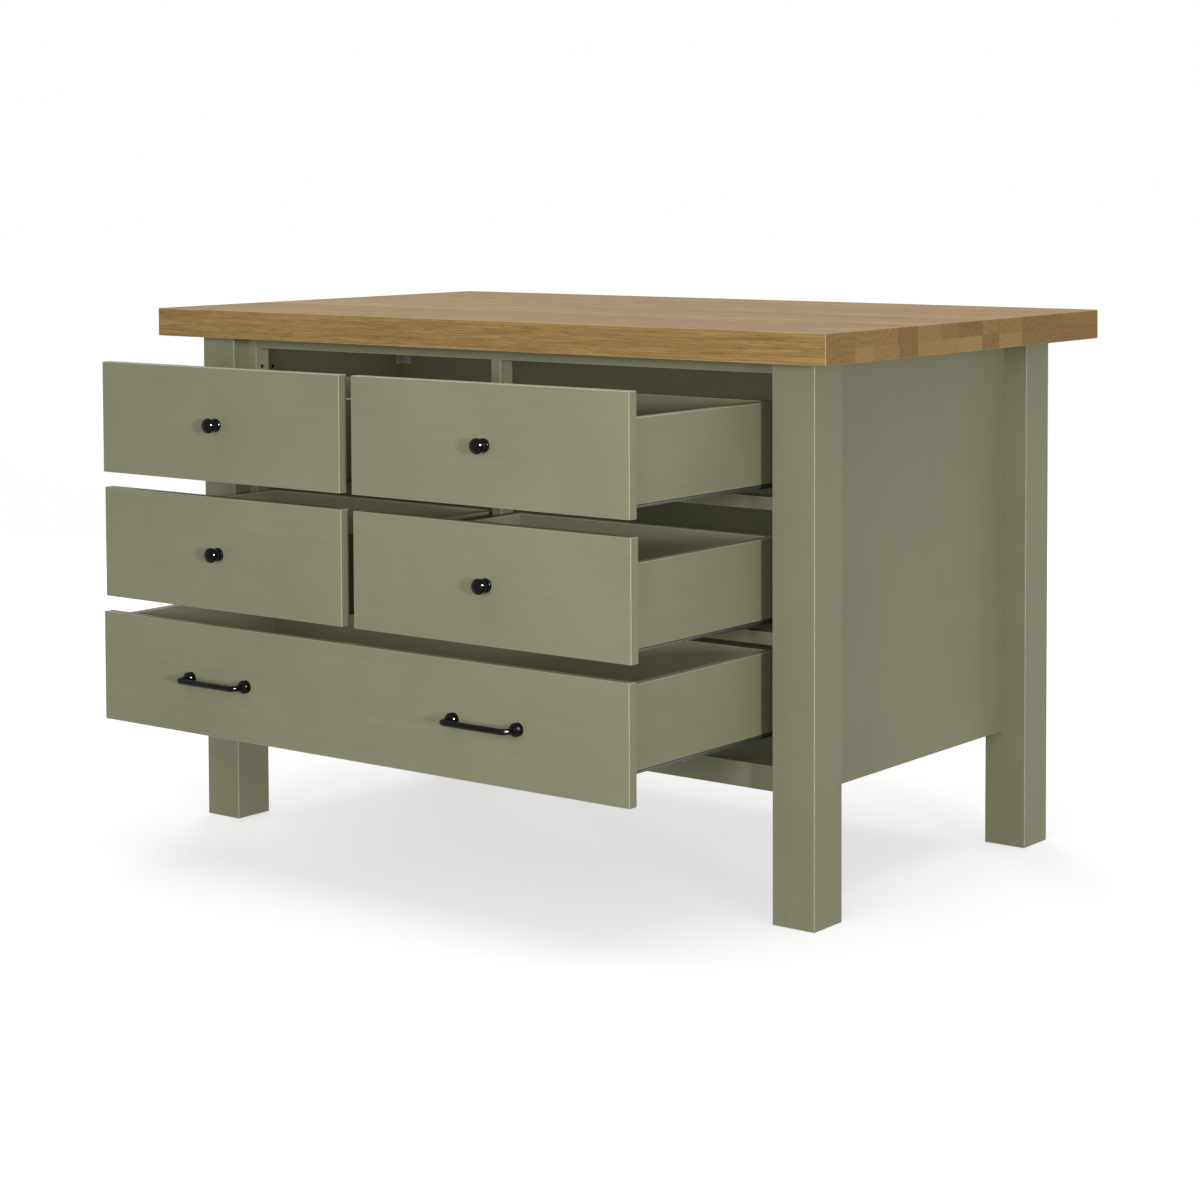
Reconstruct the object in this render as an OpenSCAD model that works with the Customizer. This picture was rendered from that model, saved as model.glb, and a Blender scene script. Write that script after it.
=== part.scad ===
// Kitchen island unit: a painted frame on four square legs under a thick oak worktop,
// with two rows of paired small drawers over one wide drawer, all standing open.
// Millimetres. X runs across the front, +Y to the back, +Z up.
// The origin is on the floor, at the centre of the rectangle that the four legs stand on.

/* [Overall] */
// Height from the floor to the top of the worktop
height = 930; // [880:2:990]
// Width over the outer faces of the legs
frame_width = 1326; // [1100:2:1700]
// Depth over the outer faces of the legs
frame_depth = 740; // [690:2:900]

/* [Worktop] */
// Thickness of the worktop
worktop_thickness = 50; // [30:1:70]
// How far the worktop stands past the legs at each end
end_overhang = 57; // [10:1:120]
// How far the worktop stands past the front legs
front_overhang = 57; // [10:1:120]
// How far the worktop stands past the rear legs
back_overhang = 73; // [10:1:200]

/* [Legs and panels] */
// Side of the square legs
leg_size = 78; // [72:1:100]
// Height of the open space below the cabinet
floor_gap = 200; // [150:2:240]
// Thickness of the side, back, inner back and floor panels
panel_thickness = 18; // [12:1:24]
// How far the outer panels lie behind the legs' outer faces
panel_recess = 44; // [20:1:50]

/* [Face frame] */
// How far the face frame lies behind the legs' front faces
frame_setback = 36; // [10:1:44]
// Depth of the face frame's members, front to back
member_depth = 32; // [20:1:40]
// Width of the stile beside each front leg
outer_stile_width = 20; // [12:1:40]
// Width of the stile between the paired drawers
centre_stile_width = 20; // [12:1:40]
// Height of the rail under the worktop
top_rail_height = 22; // [12:1:40]
// Height of each rail between two rows of drawers
rail_height = 20; // [12:1:40]
// Height of the rail below the wide drawer
bottom_rail_height = 40; // [20:1:60]
// Height of the openings for the upper drawers
upper_opening = 194; // [160:1:230]
// Height of the openings for the middle drawers
middle_opening = 193; // [160:1:230]

/* [Drawer fronts] */
// Thickness of the drawer fronts
front_thickness = 18; // [14:1:25]
// Gap between a front and its opening, each side
front_side_gap = 3; // [1:0.5:6]
// Gap above a front
front_top_gap = 4; // [1:0.5:6]
// Gap below a front
front_bottom_gap = 2; // [1:0.5:6]
// How far the upper drawers stand short of fully open
upper_short = 9; // [0:1:380]
// How far the middle drawers stand short of fully open
middle_short = 12; // [0:1:380]
// How far the wide drawer stands short of fully open
lower_short = 7; // [0:1:380]

/* [Drawer boxes] */
// Depth of a drawer box behind its front
box_depth = 382; // [300:1:420]
// Thickness of the boxes' sides and backs
box_wall = 15; // [10:1:20]
// Thickness of the boxes' bases
base_thickness = 8; // [4:1:12]
// Height of a base's underside above the box's lower edge
base_rise = 13; // [6:1:25]
// Depth of the grooves that hold a base
groove_depth = 6; // [3:0.5:9]
// Play of a base in its grooves
groove_play = 0.3; // [0.1:0.1:0.5]
// Gap between a box and the edge of its opening, each side
box_side_gap = 13; // [8:0.5:20]
// Height of the small boxes' lower edge above their fronts' lower edge
small_box_rise = 19; // [14:1:40]
// How far the small boxes' top edge lies below their fronts' top edge
small_box_drop = 41; // [5:1:60]
// Height of the wide box's lower edge above its front's lower edge
wide_box_rise = 50; // [14:1:70]
// How far the wide box's top edge lies below its front's top edge
wide_box_drop = 7; // [2:1:40]
// Room between a closed box and the inner back
rear_room = 38; // [10:1:80]

/* [Runners] */
// Thickness of the runners' steel
runner_steel = 1.2; // [0.8:0.1:1.5]
// Width of the runner member under a box's side
runner_width = 26; // [22:1:32]
// Play between two runner members
runner_play = 0.4; // [0.3:0.1:0.6]
// Width of the lips of the member that moves with the drawer
drawer_lip = 5; // [4.5:0.1:6]
// Width of the lips of the member that is fixed to the cabinet
cabinet_lip = 3; // [2:0.1:3]
// Height of the gap between the moving and the fixed member
member_gap = 1; // [0.6:0.1:2]
// How far the fixed member's channel lies inside the moving member's outer face
cabinet_inset = 2; // [1.8:0.1:3]
// Height of the fixed member's screw flange
flange_height = 24; // [14:1:30]
// How far the runners stop short of the box's rear
runner_end_gap = 2; // [1:1:10]
// How far the sliding middle member stands forward of the face frame's rear when closed
slide_lead = 4; // [0:1:10]
// How much shorter the sliding middle member is than the runner
slide_shortening = 10; // [5:1:30]
// Distance of the runner's stop tab behind the front
tab_setback = 131; // [40:1:180]
// Length of the stop tab along the runner
tab_length = 4; // [2:1:8]
// How far the stop tab hangs below the moving member
tab_drop = 2.2; // [1:0.1:3]
// Height of the bearers that carry the runners
bearer_height = 60; // [40:1:80]

/* [Knobs] */
// Diameter of a knob's head
knob_diameter = 25; // [18:0.5:40]
// Thickness of a knob's head
knob_thickness = 18; // [14:0.5:21]
// Distance of the centre of a knob's head from the front
knob_reach = 19.5; // [18:0.5:30]
// Diameter of a knob's foot
knob_foot_diameter = 22; // [14:0.5:30]
// Thickness of a knob's foot
knob_foot_thickness = 6; // [4:0.5:7]
// Diameter of a knob's neck
knob_neck_diameter = 10; // [9:0.5:12]

/* [Handles] */
// Distance between a handle's two screws
handle_centres = 128; // [96:1:192]
// Diameter of a handle's bar
bar_diameter = 9.5; // [7:0.5:12]
// Distance of the bar's centre line from the front
handle_reach = 31.5; // [27:0.5:45]
// Radius of the bar's bends, on its centre line
bend_radius = 9; // [7:0.5:12]
// Diameter of the rose at each end of a handle
rose_diameter = 21.5; // [16:0.5:30]
// Depth of the rose
rose_depth = 12.5; // [9:0.5:15]
// Height of the handles' screws above the wide box's base
handle_rise = 21.5; // [12:0.5:30]

/* [Fasteners] */
// Diameter of the screws that hold the knobs and handles
pull_screw_diameter = 4; // [3:0.5:5]
// Diameter of those screws' heads
pull_head_diameter = 8; // [7:0.5:12]
// Height of those screws' heads
pull_head_height = 2.5; // [1.5:0.5:4]
// How deep those screws go into a knob or handle
pull_screw_grip = 8; // [5:0.5:9]
// Diametral clearance of those screws in the fronts
pull_screw_clearance = 0.5; // [0.2:0.1:1]
// Length of each leg of a corner bracket
bracket_leg = 20; // [16:1:30]
// Height of a corner bracket
bracket_height = 18; // [12:1:30]
// Thickness of a corner bracket
bracket_steel = 2; // [1.5:0.5:3]
// Distance of a corner bracket below the worktop
bracket_drop = 58; // [10:1:80]
// Diameter of the brackets' wood screws
wood_screw_diameter = 3.5; // [3:0.5:4]
// Diameter of the wood screws' heads
wood_head_diameter = 7; // [6:0.5:9]
// Height of the wood screws' heads
wood_head_height = 2; // [1:0.5:3]
// Length of the wood screws' shanks
wood_screw_length = 12; // [8:0.5:13]

/* [Hidden] */
$fn = 64;
// Fits of a screw in its own thread, and the overshoot of a cut past a face
thread_fit = 0.05;
cut = 1;

// Colours
paint = [0.51, 0.51, 0.40];
oak = [0.66, 0.47, 0.27];
iron = [0.10, 0.10, 0.11];
zinc = [0.66, 0.67, 0.68];

// Each drawer: name, row from the top, and -1 left, 1 right or 0 for the full width
DRAWERS = [
    ["upper_left", 0, -1],
    ["upper_right", 0, 1],
    ["middle_left", 1, -1],
    ["middle_right", 1, 1],
    ["lower", 2, 0]
];
function name_of(d) = d[0];
function row_of(d) = d[1];
function half_of(d) = d[2];
ENDS = [-1, 1];

// Plan: legs, panels and face frame
leg_x = frame_width / 2;
leg_y = frame_depth / 2;
leg_inner_x = leg_x - leg_size;
leg_inner_y = leg_y - leg_size;
panel_outer_x = leg_x - panel_recess;
panel_inner_x = panel_outer_x - panel_thickness;
back_inner_y = leg_y - panel_recess - panel_thickness;
frame_front_y = -leg_y + frame_setback;
frame_rear_y = frame_front_y + member_depth;
opening_x = leg_inner_x - outer_stile_width;
inner_back_y = frame_front_y + front_thickness + box_depth + rear_room;

// Heights: the worktop's underside and each row's opening, from the top row down
under_z = height - worktop_thickness;
upper_low_z = under_z - top_rail_height - upper_opening;
middle_low_z = upper_low_z - rail_height - middle_opening;
lower_low_z = floor_gap + bottom_rail_height;
lower_opening = middle_low_z - rail_height - lower_low_z;
ROW_LOW = [upper_low_z, middle_low_z, lower_low_z];
ROW_HEIGHT = [upper_opening, middle_opening, lower_opening];

// Drawers: travel, rest positions and boxes
runner_length = box_depth - runner_end_gap;
OPEN = [for (short = [upper_short, middle_short, lower_short]) runner_length - short];
BOX_RISE = [small_box_rise, small_box_rise, wide_box_rise];
BOX_DROP = [small_box_drop, small_box_drop, wide_box_drop];

function row_open(d) = OPEN[row_of(d)];
function open_low_x(d) = half_of(d) > 0 ? centre_stile_width / 2 : -opening_x;
function open_high_x(d) = half_of(d) < 0 ? -centre_stile_width / 2 : opening_x;
function open_edge_x(d, end) = end < 0 ? open_low_x(d) : open_high_x(d);
function front_low_z(d) = ROW_LOW[row_of(d)] + front_bottom_gap;
function front_high_z(d) = ROW_LOW[row_of(d)] + ROW_HEIGHT[row_of(d)] - front_top_gap;
function box_low_z(d) = front_low_z(d) + BOX_RISE[row_of(d)];
function box_high_z(d) = front_high_z(d) - BOX_DROP[row_of(d)];
function front_y(d) = frame_front_y - row_open(d);
function box_front_y(d) = front_y(d) + front_thickness;
function box_rear_y(d) = box_front_y(d) + box_depth;

// A knob sits in the middle of its front, and the handles line up below the knobs,
// with their screws clear of the wide box's base
pull_x = (centre_stile_width / 2 + opening_x) / 2;
function base_top_z(d) = box_low_z(d) + base_rise + base_thickness;
function pull_z(d) =
    half_of(d) == 0
        ? base_top_z(d) + handle_rise
        : (front_low_z(d) + front_high_z(d)) / 2;
function pull_screw_xs(d) =
    half_of(d) == 0
        ? [for (end = ENDS, side = ENDS) end * pull_x + side * handle_centres / 2]
        : [half_of(d) * pull_x];

// Runner section, measured inward from the opening's edge and up from the box's lower edge
channel_height = 3 * runner_steel + 2 * runner_play;
cabinet_channel_low = -2 * channel_height - member_gap;
cabinet_channel_edge = box_side_gap + cabinet_inset;
cabinet_channel_width = runner_width - 2 * cabinet_inset;
slide_web_edge = box_side_gap + runner_steel + drawer_lip + runner_play;
slide_top = -runner_steel - runner_play;
slide_low = cabinet_channel_low + runner_steel + runner_play;

// Fastener radii
pull_screw_r = pull_screw_diameter / 2;
pull_hole_r = (pull_screw_diameter + pull_screw_clearance) / 2;
wood_screw_r = wood_screw_diameter / 2;
bracket_z = under_z - bracket_drop - bracket_height;
bracket_screw_setback = bracket_leg / 2 + bracket_steel / 2;

DRAWER_PARTS = ["front", "left_side", "right_side", "back", "base", "runner_members", "slides"];

// A plain board between two opposite corners
module board(low, high) {
    translate(low)
        cube(high - low);
}

// A flat outline in X and Z, run back along Y from one place to another
module run_along_y(from_y, to_y) {
    translate([0, to_y, 0])
        rotate([90, 0, 0])
            linear_extrude(to_y - from_y)
                children();
}

// A steel channel outline: a web, two walls and two lips round a mouth on the far side
module channel_outline(width, lip) {
    difference() {
        square([width, channel_height]);
        translate([runner_steel, runner_steel])
            square([width - 2 * runner_steel, channel_height - 2 * runner_steel]);
        translate([runner_steel + lip, channel_height - runner_steel - cut])
            square([width - 2 * (runner_steel + lip), runner_steel + 2 * cut]);
    }
}

// Places a runner at one end of a drawer: +X inward, Z from the box's lower edge
module at_runner(d, end) {
    translate([open_edge_x(d, end), 0, box_low_z(d)])
        mirror([end < 0 ? 0 : 1, 0, 0])
            children();
}

// ---- Worktop, legs and panels ----

module worktop() {
    color(oak)
        board(
            [-leg_x - end_overhang, -leg_y - front_overhang, under_z],
            [leg_x + end_overhang, leg_y + back_overhang, height]
        );
}

module leg(x_end, y_end) {
    color(paint)
        translate([x_end * (leg_x - leg_size / 2), y_end * (leg_y - leg_size / 2), under_z / 2])
            cube([leg_size, leg_size, under_z], center = true);
}

module side_panel(end) {
    color(paint)
        difference() {
            board(
                [min(end * panel_inner_x, end * panel_outer_x), -leg_inner_y, floor_gap],
                [max(end * panel_inner_x, end * panel_outer_x), leg_inner_y, under_z]
            );
            bracket_side_screw(end, thread_fit);
        }
}

module back_panel() {
    color(paint)
        board(
            [-leg_inner_x, back_inner_y, floor_gap],
            [leg_inner_x, back_inner_y + panel_thickness, under_z]
        );
}

module inner_back() {
    color(paint)
        difference() {
            board(
                [-panel_inner_x, inner_back_y, floor_gap + panel_thickness],
                [panel_inner_x, inner_back_y + panel_thickness, under_z]
            );
            for (end = ENDS)
                bracket_back_screw(end, thread_fit);
        }
}

module floor_panel() {
    color(paint)
        union() {
            board(
                [-panel_inner_x, -leg_inner_y, floor_gap],
                [panel_inner_x, leg_inner_y, floor_gap + panel_thickness]
            );
            board(
                [-leg_inner_x, frame_rear_y, floor_gap],
                [leg_inner_x, back_inner_y, floor_gap + panel_thickness]
            );
        }
}

// ---- Face frame ----

module rail(low_z, high_z) {
    color(paint)
        board([-opening_x, frame_front_y, low_z], [opening_x, frame_rear_y, high_z]);
}

module top_rail() {
    rail(under_z - top_rail_height, under_z);
}

module upper_rail() {
    rail(upper_low_z - rail_height, upper_low_z);
}

module middle_rail() {
    rail(middle_low_z - rail_height, middle_low_z);
}

module bottom_rail() {
    rail(floor_gap, lower_low_z);
}

module outer_stiles() {
    color(paint)
        for (end = ENDS)
            board(
                [min(end * opening_x, end * leg_inner_x), frame_front_y, floor_gap],
                [max(end * opening_x, end * leg_inner_x), frame_rear_y, under_z]
            );
}

module centre_stiles() {
    color(paint)
        for (row = [0, 1])
            board(
                [-centre_stile_width / 2, frame_front_y, ROW_LOW[row]],
                [centre_stile_width / 2, frame_rear_y, ROW_LOW[row] + ROW_HEIGHT[row]]
            );
}

// One bearer behind each stile that has runners on it
module runner_bearers() {
    color(paint)
        for (d = DRAWERS, end = ENDS)
            if (end != -half_of(d) || end < 0)
                bearer(d, end);
}

module bearer(d, end) {
    edge_x = open_edge_x(d, end);
    far_x = end == -half_of(d) ? edge_x + end * centre_stile_width : edge_x + end * outer_stile_width;
    board(
        [min(edge_x, far_x), frame_rear_y, box_low_z(d) - bearer_height / 2],
        [max(edge_x, far_x), inner_back_y, box_low_z(d) + bearer_height / 2]
    );
}

// ---- Corner brackets between the side panels and the inner back ----

module bracket_side_screw(end, growth) {
    translate([end * panel_inner_x, inner_back_y - bracket_screw_setback, bracket_z + bracket_height / 2])
        rotate([0, end * 90, 0])
            wood_screw_shank(growth);
}

module bracket_back_screw(end, growth) {
    translate([
        end * (panel_inner_x - bracket_screw_setback), inner_back_y, bracket_z + bracket_height / 2
    ])
        rotate([-90, 0, 0])
            wood_screw_shank(growth);
}

// Runs along +Z into the wood, from inside the bracket's steel
module wood_screw_shank(growth) {
    translate([0, 0, -bracket_steel])
        cylinder(r = wood_screw_r + growth, h = bracket_steel + wood_screw_length + growth);
}

module wood_screw_head() {
    translate([0, 0, -bracket_steel - wood_head_height])
        cylinder(d = wood_head_diameter, h = wood_head_height);
}

module corner_brackets() {
    color(zinc)
        for (end = ENDS) {
            corner_bracket(end);
            bracket_side_screw(end, 0);
            bracket_back_screw(end, 0);
            translate([
                end * panel_inner_x, inner_back_y - bracket_screw_setback, bracket_z + bracket_height / 2
            ])
                rotate([0, end * 90, 0])
                    wood_screw_head();
            translate([
                end * (panel_inner_x - bracket_screw_setback), inner_back_y, bracket_z + bracket_height / 2
            ])
                rotate([-90, 0, 0])
                    wood_screw_head();
        }
}

module corner_bracket(end) {
    mirror([end < 0 ? 1 : 0, 0, 0])
        difference() {
            union() {
                board(
                    [panel_inner_x - bracket_leg, inner_back_y - bracket_steel, bracket_z],
                    [panel_inner_x, inner_back_y, bracket_z + bracket_height]
                );
                board(
                    [panel_inner_x - bracket_steel, inner_back_y - bracket_leg, bracket_z],
                    [panel_inner_x, inner_back_y, bracket_z + bracket_height]
                );
            }
            bracket_side_screw(1, thread_fit);
            bracket_back_screw(1, thread_fit);
        }
}

// ---- Drawers ----

module drawer_front(d) {
    color(paint)
        difference() {
            board(
                [open_low_x(d) + front_side_gap, front_y(d), front_low_z(d)],
                [open_high_x(d) - front_side_gap, box_front_y(d), front_high_z(d)]
            );
            base_groove(d);
            for (x = pull_screw_xs(d))
                translate([x, front_y(d) - cut, pull_z(d)])
                    rotate([-90, 0, 0])
                        cylinder(r = pull_hole_r, h = front_thickness + 2 * cut);
        }
}

function box_low_x(d) = open_low_x(d) + box_side_gap;
function box_high_x(d) = open_high_x(d) - box_side_gap;

// The groove round the inside of a box that its base sits in
module base_groove(d) {
    board(
        [
            box_low_x(d) + box_wall - groove_depth,
            box_front_y(d) - groove_depth,
            box_low_z(d) + base_rise
        ],
        [
            box_high_x(d) - box_wall + groove_depth,
            box_rear_y(d) - box_wall + groove_depth,
            base_top_z(d) + groove_play
        ]
    );
}

module drawer_side(d, end) {
    outer_x = end < 0 ? box_low_x(d) : box_high_x(d);
    inner_x = outer_x - end * box_wall;
    color(paint)
        difference() {
            board(
                [min(outer_x, inner_x), box_front_y(d), box_low_z(d)],
                [max(outer_x, inner_x), box_rear_y(d), box_high_z(d)]
            );
            base_groove(d);
        }
}

module drawer_back(d) {
    color(paint)
        difference() {
            board(
                [box_low_x(d) + box_wall, box_rear_y(d) - box_wall, box_low_z(d)],
                [box_high_x(d) - box_wall, box_rear_y(d), box_high_z(d)]
            );
            base_groove(d);
        }
}

module drawer_base(d) {
    color(paint)
        board(
            [
                box_low_x(d) + box_wall - groove_depth + groove_play,
                box_front_y(d) - groove_depth + groove_play,
                box_low_z(d) + base_rise
            ],
            [
                box_high_x(d) - box_wall + groove_depth - groove_play,
                box_rear_y(d) - box_wall + groove_depth - groove_play,
                base_top_z(d)
            ]
        );
}

// ---- Runners ----

// The members that move with the drawer: a channel under each side, open downward
module runner_members(d) {
    color(zinc)
        for (end = ENDS)
            at_runner(d, end) {
                run_along_y(box_front_y(d), box_front_y(d) + runner_length)
                    translate([box_side_gap, 0])
                        mirror([0, 1])
                            channel_outline(runner_width, drawer_lip);
                board(
                    [box_side_gap, box_front_y(d) + tab_setback, -channel_height - tab_drop],
                    [
                        box_side_gap + runner_steel,
                        box_front_y(d) + tab_setback + tab_length,
                        -channel_height / 2
                    ]
                );
            }
}

// The middle members: each runs half as far as the drawer, between the other two
module slide_members(d) {
    slide_front_y = frame_rear_y - slide_lead - row_open(d) / 2;
    color(zinc)
        for (end = ENDS)
            at_runner(d, end)
                run_along_y(slide_front_y, slide_front_y + runner_length - slide_shortening)
                    slide_outline();
}

module slide_outline() {
    top_edge = box_side_gap + runner_steel + runner_play;
    low_edge = cabinet_channel_edge + runner_steel + runner_play;
    translate([top_edge, slide_top - runner_steel])
        square([runner_width - 2 * (runner_steel + runner_play), runner_steel]);
    translate([slide_web_edge, slide_low])
        square([runner_steel, slide_top - slide_low]);
    translate([low_edge, slide_low])
        square([cabinet_channel_width - 2 * (runner_steel + runner_play), runner_steel]);
}

// The fixed members: a channel open upward, with a flange against the bearer
module cabinet_runners() {
    color(zinc)
        for (d = DRAWERS, end = ENDS)
            at_runner(d, end)
                run_along_y(frame_rear_y, frame_rear_y + runner_length)
                    translate([0, cabinet_channel_low]) {
                        translate([cabinet_channel_edge, 0])
                            channel_outline(cabinet_channel_width, cabinet_lip);
                        square([cabinet_channel_edge + runner_steel, runner_steel]);
                        square([runner_steel, flange_height]);
                    }
}

// ---- Knobs and handles ----

// A machine screw from behind the front into a pull, with its head on the front's back face
module pull_screw(x, y, z) {
    translate([x, y - pull_screw_grip, z])
        rotate([-90, 0, 0])
            cylinder(r = pull_screw_r, h = pull_screw_grip + front_thickness);
    translate([x, y + front_thickness, z])
        rotate([-90, 0, 0])
            cylinder(d = pull_head_diameter, h = pull_head_height);
}

module pull_screw_thread(x, y, z) {
    translate([x, y - pull_screw_grip - thread_fit, z])
        rotate([-90, 0, 0])
            cylinder(r = pull_screw_r + thread_fit, h = pull_screw_grip + thread_fit + cut);
}

// Half outline of a knob, from the axis round its foot, neck and flattened head
neck_r = knob_neck_diameter / 2;
foot_r = knob_foot_diameter / 2;
head_r = knob_diameter / 2;
head_half = knob_thickness / 2;
foot_round = knob_foot_thickness / 2;
ARC_STEPS = 12;
neck_angle = acos(neck_r / head_r);
function foot_arc() = [
    for (i = [0:ARC_STEPS])
        let (a = -90 + 180 * i / ARC_STEPS)
            [foot_r - foot_round + foot_round * cos(a), foot_round + foot_round * sin(a)]
];
function head_arc() = [
    for (i = [0:ARC_STEPS])
        let (a = -neck_angle + (90 + neck_angle) * i / ARC_STEPS)
            [head_r * cos(a), knob_reach + head_half * sin(a)]
];

module knob(d) {
    x = pull_screw_xs(d)[0];
    color(iron) {
        difference() {
            translate([x, front_y(d), pull_z(d)])
                rotate([90, 0, 0])
                    rotate_extrude()
                        polygon(concat(
                            [[0, 0]],
                            foot_arc(),
                            [[neck_r, knob_foot_thickness + foot_round]],
                            head_arc()
                        ));
            pull_screw_thread(x, front_y(d), pull_z(d));
        }
        pull_screw(x, front_y(d), pull_z(d));
    }
}

// Half outline of a handle's rose: a straight rim that domes over to the bar
bar_r = bar_diameter / 2;
rose_r = rose_diameter / 2;
rose_rim = rose_depth / 2;
function rose_dome() = [
    for (i = [0:ARC_STEPS])
        let (a = 90 * i / ARC_STEPS)
            [
                bar_r + (rose_r - bar_r) * cos(a),
                rose_rim + (rose_depth - rose_rim) * sin(a)
            ]
];

module handle_leg(d, x, toward) {
    translate([x, front_y(d), pull_z(d)]) {
        rotate([90, 0, 0]) {
            rotate_extrude()
                polygon(concat([[0, 0], [rose_r, 0]], rose_dome(), [[0, rose_depth]]));
            cylinder(r = bar_r, h = handle_reach - bend_radius);
        }
        translate([toward * bend_radius, bend_radius - handle_reach, 0])
            rotate([0, 0, toward > 0 ? 180 : 270])
                rotate_extrude(angle = 90)
                    translate([bend_radius, 0])
                        circle(r = bar_r);
    }
}

module handle(end) {
    d = DRAWERS[4];
    xs = [for (side = ENDS) end * pull_x + side * handle_centres / 2];
    color(iron) {
        difference() {
            union() {
                handle_leg(d, xs[0], 1);
                handle_leg(d, xs[1], -1);
                translate([xs[0] + bend_radius, front_y(d) - handle_reach, pull_z(d)])
                    rotate([0, 90, 0])
                        cylinder(r = bar_r, h = handle_centres - 2 * bend_radius);
            }
            for (x = xs)
                pull_screw_thread(x, front_y(d), pull_z(d));
        }
        for (x = xs)
            pull_screw(x, front_y(d), pull_z(d));
    }
}

// ---- Every node ----

worktop();
leg(-1, -1);  // front_left_leg
leg(1, -1);  // front_right_leg
leg(-1, 1);  // rear_left_leg
leg(1, 1);  // rear_right_leg
side_panel(-1);  // left_side_panel
side_panel(1);  // right_side_panel
back_panel();
inner_back();
floor_panel();
top_rail();
upper_rail();
middle_rail();
bottom_rail();
outer_stiles();
centre_stiles();
runner_bearers();
corner_brackets();
cabinet_runners();
handle(-1);  // lower_left_handle
handle(1);  // lower_right_handle
for (d = DRAWERS) {
    drawer_front(d);
    drawer_side(d, -1);
    drawer_side(d, 1);
    drawer_back(d);
    drawer_base(d);
    runner_members(d);
    slide_members(d);
    if (half_of(d) != 0)
        knob(d);
}
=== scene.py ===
"""Kitchen island unit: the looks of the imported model.

Eased edges, sage paint, oak staves, black iron and zinc-plated steel, with the light and the camera.
"""

import math

import bmesh
import bpy
from mathutils import Matrix, Vector


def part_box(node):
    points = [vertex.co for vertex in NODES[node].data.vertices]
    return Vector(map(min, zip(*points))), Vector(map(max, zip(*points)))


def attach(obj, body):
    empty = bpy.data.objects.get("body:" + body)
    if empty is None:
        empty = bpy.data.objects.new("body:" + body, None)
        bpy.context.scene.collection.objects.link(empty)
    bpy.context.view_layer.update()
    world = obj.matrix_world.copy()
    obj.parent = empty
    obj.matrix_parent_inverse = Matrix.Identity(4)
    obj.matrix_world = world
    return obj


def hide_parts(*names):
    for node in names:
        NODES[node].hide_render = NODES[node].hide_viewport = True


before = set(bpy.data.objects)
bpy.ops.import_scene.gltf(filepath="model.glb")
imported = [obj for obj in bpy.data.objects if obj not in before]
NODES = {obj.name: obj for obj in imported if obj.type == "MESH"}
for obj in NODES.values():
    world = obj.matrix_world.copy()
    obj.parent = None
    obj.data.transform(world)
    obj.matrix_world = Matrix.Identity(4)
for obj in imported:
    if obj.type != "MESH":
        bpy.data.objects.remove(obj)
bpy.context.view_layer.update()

MM = 0.001
# Vertices this close, in metres, become one
WELD_DISTANCE = 1e-6
PULL_NAMES = [name for name in NODES if name.endswith(("_knob", "_handle"))]


def put(name, data):
    """A new object in the scene, from a mesh, a lamp or a camera."""
    made = bpy.data.objects.new(name, data)
    bpy.context.scene.collection.objects.link(made)
    return made


# ---------------------------------------------------------------- node trees
class Tree:
    """A small writer for node trees, in which a value or another node's socket can feed any input.

    node() returns the node that it adds and split() a node's three outputs; the others return one output.
    """

    def __init__(self, tree):
        self.nodes = tree.nodes
        self.links = tree.links

    def feed(self, socket, value):
        if isinstance(value, bpy.types.NodeSocket):
            self.links.new(value, socket)
        elif value is not None:
            socket.default_value = value

    def node(self, kind, inputs=None, **settings):
        node = self.nodes.new(kind)
        for name, value in settings.items():
            setattr(node, name, value)
        for name, value in (inputs or {}).items():
            self.feed(node.inputs[name], value)
        return node

    def math(self, operation, a, b=None, c=None):
        node = self.nodes.new("ShaderNodeMath")
        node.operation = operation
        for socket, value in zip(node.inputs, (a, b, c)):
            self.feed(socket, value)
        return node.outputs[0]

    def vector(self, operation, a, b=None):
        node = self.nodes.new("ShaderNodeVectorMath")
        node.operation = operation
        for socket, value in zip(node.inputs, (a, b)):
            self.feed(socket, value)
        return node.outputs[0]

    def weigh(self, *pairs):
        """The sum of some values, each times its weight."""
        total = None
        for value, weight in pairs:
            share = self.math("MULTIPLY", value, weight)
            total = share if total is None else self.math("ADD", total, share)
        return total

    def split(self, vector):
        return self.node("ShaderNodeSeparateXYZ", {"Vector": vector}).outputs

    def join(self, x, y, z):
        return self.node("ShaderNodeCombineXYZ", {"X": x, "Y": y, "Z": z}).outputs[0]

    def noise(self, vector, scale, detail=3.0, roughness=0.5):
        inputs = {"Vector": vector, "Scale": scale, "Detail": detail, "Roughness": roughness}
        return self.node("ShaderNodeTexNoise", inputs).outputs["Fac"]

    def stretch(self, vector, scale):
        return self.vector("MULTIPLY", vector, scale)

    def drawn_out(self, vector, along, waves):
        """The vector scaled for long marks: waves per metre along one axis, and across it."""
        few, many = waves
        return self.stretch(vector, [few if i == along else many for i in range(3)])

    def remap(self, value, low, high, to_low=0.0, to_high=1.0, smooth=False):
        node = self.nodes.new("ShaderNodeMapRange")
        if smooth:
            node.interpolation_type = "SMOOTHSTEP"
        for socket, entry in zip(node.inputs[:5], (value, low, high, to_low, to_high)):
            self.feed(socket, entry)
        return node.outputs[0]

    def mix(self, factor, a, b):
        node = self.nodes.new("ShaderNodeMix")
        node.data_type = "RGBA"
        self.feed(node.inputs[0], factor)
        self.feed(node.inputs[6], a)
        self.feed(node.inputs[7], b)
        return node.outputs[2]

    def bump(self, height, strength, distance):
        inputs = {"Height": height, "Strength": strength, "Distance": distance}
        return self.node("ShaderNodeBump", inputs).outputs[0]


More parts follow.
